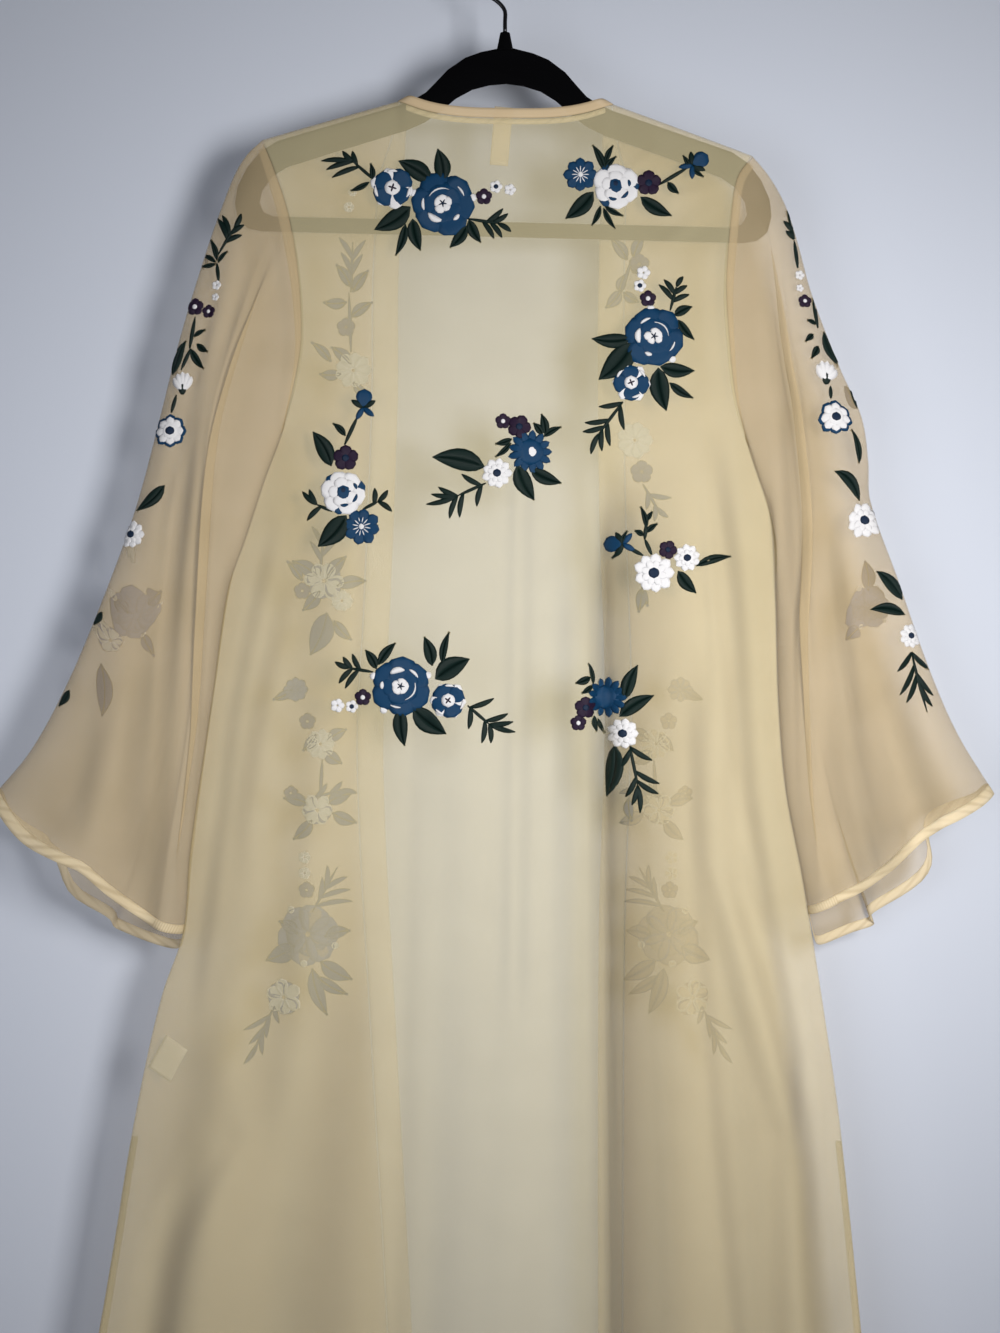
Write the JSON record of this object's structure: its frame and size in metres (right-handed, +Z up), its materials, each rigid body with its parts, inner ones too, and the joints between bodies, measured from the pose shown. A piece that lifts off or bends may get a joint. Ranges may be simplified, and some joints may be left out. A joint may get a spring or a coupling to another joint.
{
  "type": "kimono coat on a clothes hanger",
  "caption": "Long sheer open-front kimono coat with bell sleeves and side slits, hanging flat on a slim flocked hanger with a wire hook.",
  "frame": {"origin": "inside the top of the hook, where a rail or peg carries it", "axes": "+Z up, the back of the coat faces -Y, +X to the right for somebody who looks at the back"},
  "size_m": [0.8223, 0.0829, 1.3234],
  "materials": {
    "sheer_cloth": "crisp sheer cream chiffon with a fine plain weave",
    "band_cloth": "the same chiffon folded to a narrow band of several layers",
    "label_cloth": "plain white woven tape, blank",
    "flocked_plastic": "plastic with a short black velvet flocking",
    "hook_wire": "polished steel wire"
  },
  "bodies": {
    "root": {"back": "sheer_cloth", "front_left": "sheer_cloth", "front_right": "sheer_cloth", "front_band_left": "band_cloth", "front_band_right": "band_cloth", "neck_band": "band_cloth", "sleeve_left": "sheer_cloth", "sleeve_right": "sheer_cloth", "neck_label": "label_cloth", "care_label": "label_cloth", "hanger_body": "flocked_plastic", "hanger_hook": "hook_wire"}
  },
  "joints": []
}
